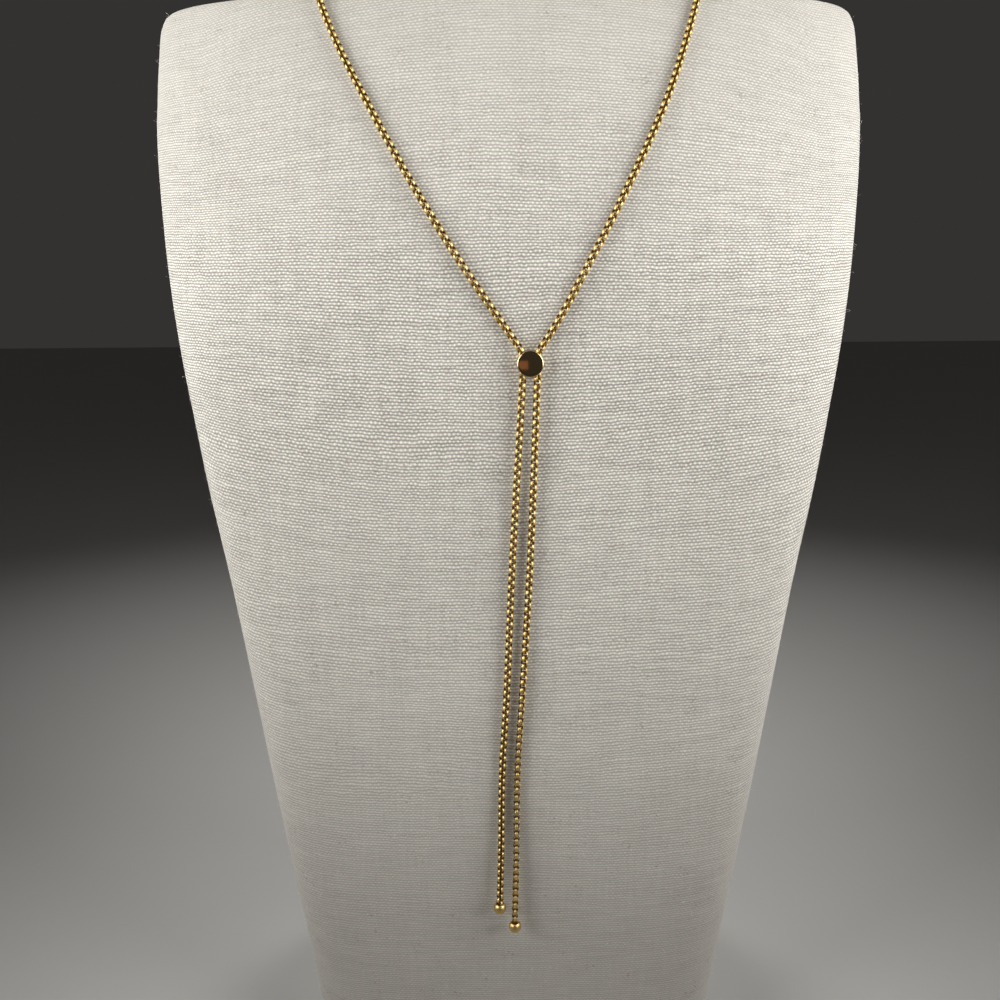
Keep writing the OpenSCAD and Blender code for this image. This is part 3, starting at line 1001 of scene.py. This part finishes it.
# ---------------------------------------------------------------- floor and light
# In metres and watts.
FLOOR_HALF = 2.5
FLOOR_COLOUR = (0.47, 0.465, 0.455)
SOFT_WHITE = (1.0, 0.99, 0.965)
WARM = (1.0, 0.42, 0.22)
LEFT_POWER, RIGHT_POWER = 0.525, 0.555
SHOULDER_POWER = 0.018
BACK_POWER = 0.55
GLOW_POWER = 0.0036
STUDIO_COLOUR = (0.034, 0.032, 0.030, 1)


def lay_floor():
    mesh = bpy.data.meshes.new("floor")
    half = FLOOR_HALF
    mesh.from_pydata([(-half, -half, 0), (half, -half, 0), (half, half, 0), (-half, half, 0)],
                     [], [(0, 1, 2, 3)])
    floor = add_piece("floor", mesh, plain_finish("pale_floor", FLOOR_COLOUR, 0.7), False)


def soft_light(name, at, target, size, power, colour=SOFT_WHITE, spread=180):
    """A soft lamp that faces a point, and that the camera doesn't see."""
    data = bpy.data.lights.new(name, "AREA")
    data.shape = "RECTANGLE"
    data.size, data.size_y = size
    data.energy = power
    data.color = colour
    data.spread = math.radians(spread)
    light = bpy.data.objects.new(name, data)
    bpy.context.scene.collection.objects.link(light)
    light.location = at
    light.rotation_euler = (Vector(target) - Vector(at)).to_track_quat("-Z", "Y").to_euler()
    light.visible_camera = False


def light_scene():
    for side, name, power in ((-1, "left", LEFT_POWER), (1, "right", RIGHT_POWER)):
        soft_light(name + "_soft_light", (side * 0.28, -0.15, 0.33), (0, -0.02, 0.24),
                   (0.32, 0.32), power, spread=90)
        soft_light(name + "_shoulder_light", (side * 0.22, -0.05, 0.52),
                   (side * 0.10, -0.03, 0.31), (0.12, 0.12), SHOULDER_POWER, spread=80)
        soft_light(name + "_back_light", (side * 0.45, 0.80, 0.50), (0, 0.05, 0.22),
                   (0.4, 0.4), BACK_POWER, spread=60)
    # The warm patch that shows in the slider's polished face.
    soft_light("warm_glow", (-0.045, -0.62, 0.25), (0, -0.05, 0.225), (0.10, 0.062),
               GLOW_POWER, WARM)
    world = bpy.data.worlds.new("studio")
    bpy.context.scene.world = world
    world.use_nodes = True
    background = world.node_tree.nodes["Background"]
    background.inputs["Color"].default_value = STUDIO_COLOUR
    background.inputs["Strength"].default_value = 1.0
    view = bpy.context.scene.view_settings
    view.view_transform = "Standard"
    view.look = "None"


# ---------------------------------------------------------------- the whole object
linen = linen_finish()
# The links' recess colour is painted shade.
gold_links = gold_finish("gold_tone_links", (0.82, 0.625, 0.275), 0.47, 0.06,
                         painted_recess_shade=(0.20, 0.095, 0.006))
gold_disc = gold_finish("polished_gold_tone_disc", (0.84, 0.64, 0.36), 0.08, 0.03)
gold_ball = gold_finish("gold_tone_ball", (0.68, 0.49, 0.215), 0.42, 0.06)

bust = covered_bust(linen)
fibres = cloth_fibres(bust, plain_finish("linen_fibre", (0.90, 0.875, 0.83), 0.8))
links, chain_length = chain_links(gold_links)
disc = disc_slider(gold_disc)
balls = [end_ball("ball_left", left_ball, gold_ball),
         end_ball("ball_right", right_ball, gold_ball)]

for piece, node, slot in ((bust, "bust", "linen"), (links, "chain", "gold_tone_steel"),
                          (disc, "slider", "gold_tone_steel"),
                          (balls[0], "end_ball_left", "gold_tone_steel"),
                          (balls[1], "end_ball_right", "gold_tone_steel")):
    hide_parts(node)
    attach(piece, "root")

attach(fibres, "root")

lay_floor()
light_scene()
print("chain", round(chain_length, 1), "mm, faces of links", len(links.data.polygons),
      "fibres", len(fibres.data.polygons), "bust", len(bust.data.polygons))
